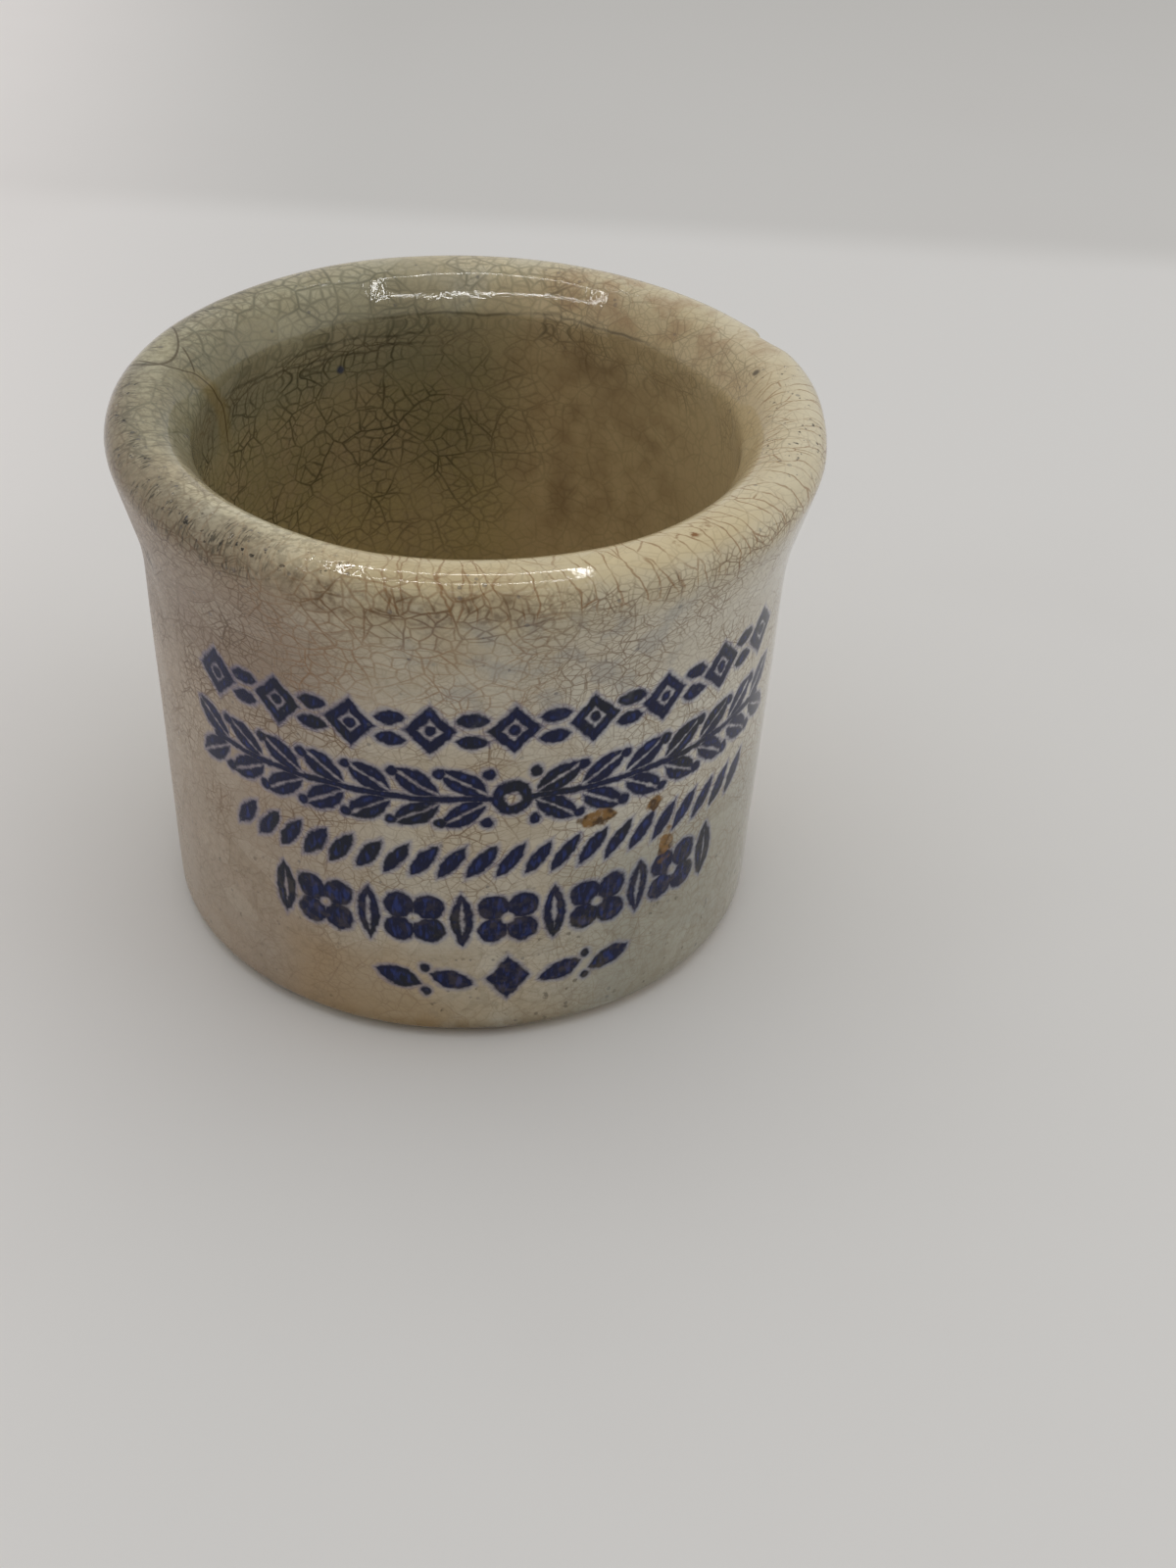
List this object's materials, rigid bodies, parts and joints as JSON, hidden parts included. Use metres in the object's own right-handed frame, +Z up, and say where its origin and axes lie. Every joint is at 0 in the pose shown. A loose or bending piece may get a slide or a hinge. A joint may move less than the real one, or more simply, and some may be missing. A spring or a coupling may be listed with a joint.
{
  "type": "ointment pot",
  "caption": "Small round glazed earthenware ointment pot with a tapered wall, flared rolled lip, chipped rim and bare foot ring, for holding salve.",
  "frame": {"origin": "centre of the foot ring, on the plane of the table", "axes": "+Z up along the pot's axis; the printed side faces -Y"},
  "size_m": [0.048, 0.048, 0.0382],
  "materials": {
    "biscuit": "bare fired clay, fine and matt, stained by age",
    "glaze": "clear glossy glaze, crazed and stained, over a printed decoration",
    "base_glaze": "thin wiped glaze, crazed"
  },
  "bodies": {
    "root": {"earthenware_body": "biscuit", "glaze_coat": "glaze", "base_glaze": "base_glaze"}
  },
  "joints": []
}
